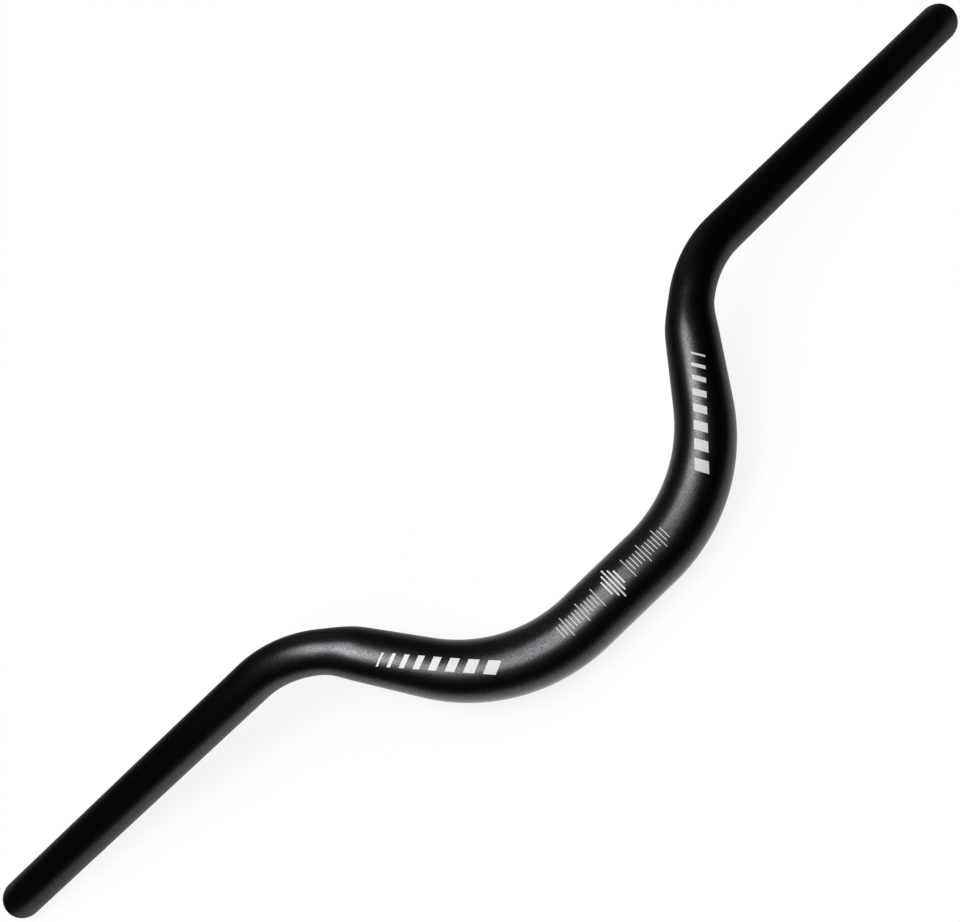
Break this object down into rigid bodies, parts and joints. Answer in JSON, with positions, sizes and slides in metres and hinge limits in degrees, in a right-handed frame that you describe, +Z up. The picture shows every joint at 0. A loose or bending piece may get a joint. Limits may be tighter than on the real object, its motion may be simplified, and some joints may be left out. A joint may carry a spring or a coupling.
{
  "type": "riser handlebar",
  "caption": "High-rise bicycle handlebar bent from one butted tube, with a wide stem clamp zone, swept-back risers and slimmer straight grips with open ends.",
  "frame": {"origin": "middle of the stem clamp zone, on the tube's axis", "axes": "+X along the clamp zone and the bar's width, +Y from the clamp towards the grips along the surface the bar lies on, +Z up from that surface"},
  "size_m": [0.725, 0.1363, 0.0642],
  "materials": {
    "black_anodised": "bead-blasted, black anodised, satin"
  },
  "bodies": {
    "root": {"handlebar": "black_anodised"}
  },
  "joints": []
}
